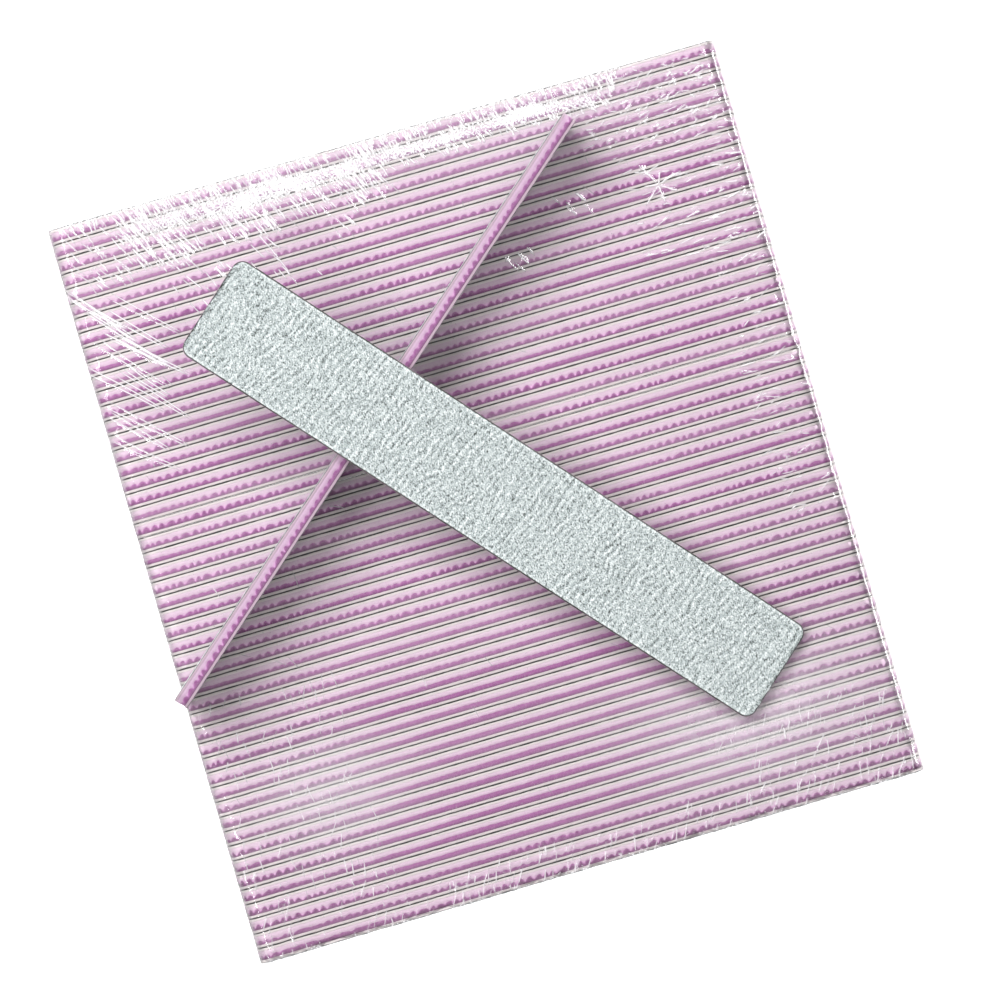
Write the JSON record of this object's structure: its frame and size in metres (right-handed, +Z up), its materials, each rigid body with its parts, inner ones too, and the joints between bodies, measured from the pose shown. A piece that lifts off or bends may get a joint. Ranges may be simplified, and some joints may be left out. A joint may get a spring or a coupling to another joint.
{
  "type": "shrink-wrapped pack of nail files",
  "caption": "Shrink-wrapped pack of rectangular double-sided nail files standing on edge side by side, with loose files of the same kind lying crossed on top.",
  "frame": {"origin": "middle of the face that the pack rests on", "axes": "+Z up, away from that face; X along the packed files; Y along the row they stand in, from the first file to the last"},
  "size_m": [0.1801, 0.1966, 0.0727],
  "materials": {
    "film": "gloss",
    "core_plastic": "satin",
    "coarse_abrasive": "matte",
    "fine_abrasive": "matte"
  },
  "bodies": {
    "pack": {"film_upper": "film", "film_lower": "film", "file_core_01": "core_plastic", "file_core_02": "core_plastic", "file_core_03": "core_plastic", "file_core_04": "core_plastic", "file_core_05": "core_plastic", "file_core_06": "core_plastic", "file_core_07": "core_plastic", "file_core_08": "core_plastic", "file_core_09": "core_plastic", "file_core_10": "core_plastic", "file_core_11": "core_plastic", "file_core_12": "core_plastic", "file_core_13": "core_plastic", "file_core_14": "core_plastic", "file_core_15": "core_plastic", "file_core_16": "core_plastic", "file_core_17": "core_plastic", "file_core_18": "core_plastic", "file_core_19": "core_plastic", "file_core_20": "core_plastic", "file_core_21": "core_plastic", "file_core_22": "core_plastic", "file_core_23": "core_plastic", "file_core_24": "core_plastic", "file_core_25": "core_plastic", "file_core_26": "core_plastic", "file_core_27": "core_plastic", "file_core_28": "core_plastic", "file_core_29": "core_plastic", "file_core_30": "core_plastic", "file_core_31": "core_plastic", "file_core_32": "core_plastic", "file_core_33": "core_plastic", "file_core_34": "core_plastic", "file_core_35": "core_plastic", "file_core_36": "core_plastic", "file_core_37": "core_plastic", "file_core_38": "core_plastic", "file_core_39": "core_plastic", "file_core_40": "core_plastic", "file_core_41": "core_plastic", "file_core_42": "core_plastic", "file_core_43": "core_plastic", "file_core_44": "core_plastic", "file_core_45": "core_plastic", "file_core_46": "core_plastic", "file_core_47": "core_plastic", "file_core_48": "core_plastic", "file_core_49": "core_plastic", "file_core_50": "core_plastic", "packed_coarse_sheets": "coarse_abrasive", "packed_fine_sheets": "fine_abrasive"},
    "edge_file": {"edge_core": "core_plastic", "edge_coarse_sheet": "coarse_abrasive", "edge_fine_sheet": "fine_abrasive"},
    "flat_file": {"flat_core": "core_plastic", "flat_coarse_sheet": "coarse_abrasive", "flat_fine_sheet": "fine_abrasive"}
  },
  "joints": [
    {"name": "edge_file_lift", "type": "slide", "parent": "pack", "child": "edge_file", "axis": [0, 0, 1], "range_m": [0, 0.05]},
    {"name": "flat_file_lift", "type": "slide", "parent": "edge_file", "child": "flat_file", "axis": [0, 0, 1], "range_m": [0, 0.05]}
  ]
}
